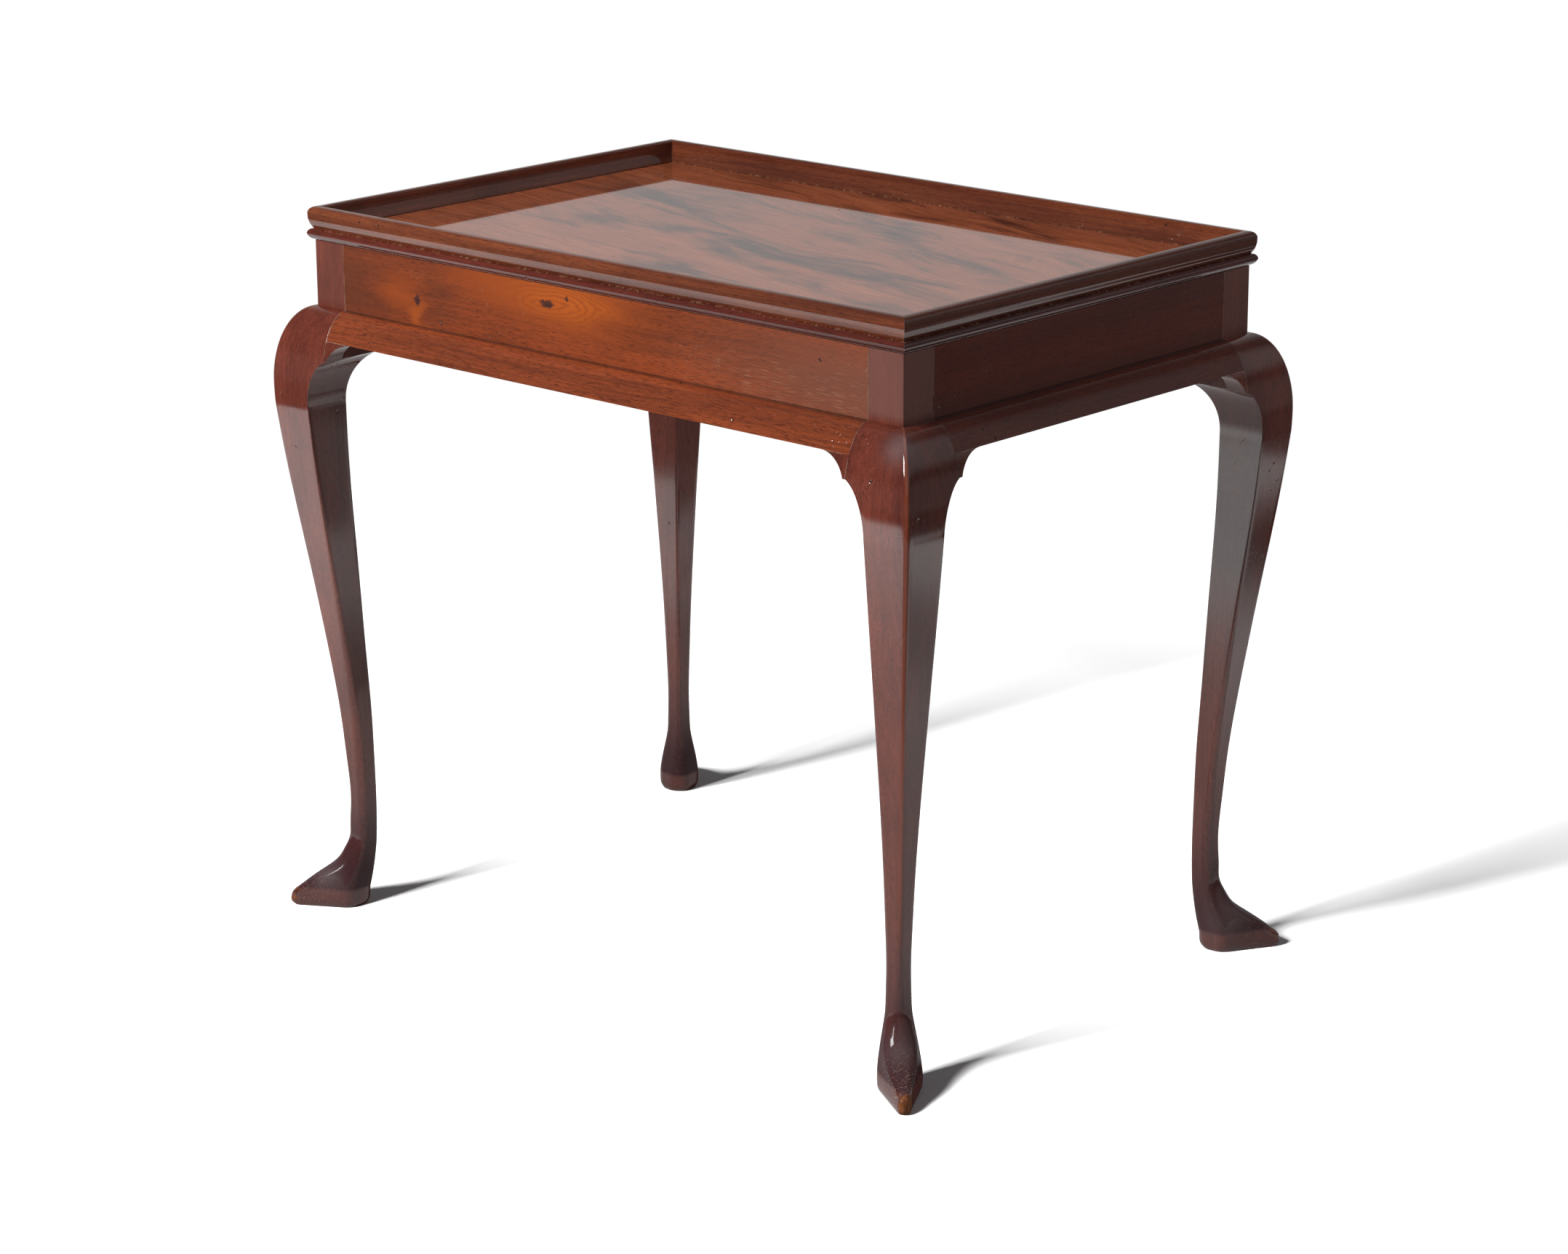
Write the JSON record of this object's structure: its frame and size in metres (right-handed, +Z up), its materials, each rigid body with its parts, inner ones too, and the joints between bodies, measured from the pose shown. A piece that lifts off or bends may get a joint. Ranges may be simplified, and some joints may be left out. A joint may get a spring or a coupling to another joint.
{
  "type": "tray top tea table",
  "caption": "Rectangular tea table: moulded tray top on a plain frieze with cushion mouldings, carried by cabriole legs with pointed slipper feet.",
  "frame": {"origin": "on the floor, under the centre of the table", "axes": "+X along the long side, -Y to the front, +Z up"},
  "size_m": [0.8178, 0.5678, 0.711],
  "materials": {
    "leg_mahogany": "dark red-brown mahogany, glossy French polish",
    "frieze_mahogany": "orange-brown figured mahogany, French polish",
    "moulding_mahogany": "straight-grained red-brown mahogany, French polish",
    "rim_mahogany": "dark red-brown mahogany, glossy French polish",
    "board_mahogany": "flame-figured mahogany, mirror French polish",
    "glue_block_pine": "bare oxidised pine",
    "screw_iron": "dull hand-filed iron"
  },
  "bodies": {
    "root": {"leg_front_left": "leg_mahogany", "leg_front_right": "leg_mahogany", "leg_back_left": "leg_mahogany", "leg_back_right": "leg_mahogany", "frieze_rail_front": "frieze_mahogany", "cushion_moulding_front": "moulding_mahogany", "tray_edge_front": "rim_mahogany", "tray_rim_front": "rim_mahogany", "frieze_rail_back": "frieze_mahogany", "cushion_moulding_back": "moulding_mahogany", "tray_edge_back": "rim_mahogany", "tray_rim_back": "rim_mahogany", "frieze_rail_left": "frieze_mahogany", "cushion_moulding_left": "moulding_mahogany", "tray_edge_left": "rim_mahogany", "tray_rim_left": "rim_mahogany", "frieze_rail_right": "frieze_mahogany", "cushion_moulding_right": "moulding_mahogany", "tray_edge_right": "rim_mahogany", "tray_rim_right": "rim_mahogany", "knee_block_front_left_long": "leg_mahogany", "knee_block_front_left_short": "leg_mahogany", "knee_block_front_right_long": "leg_mahogany", "knee_block_front_right_short": "leg_mahogany", "knee_block_back_left_long": "leg_mahogany", "knee_block_back_left_short": "leg_mahogany", "knee_block_back_right_long": "leg_mahogany", "knee_block_back_right_short": "leg_mahogany", "tray_board": "board_mahogany", "glue_blocks": "glue_block_pine", "pocket_screws": "screw_iron"}
  },
  "joints": []
}
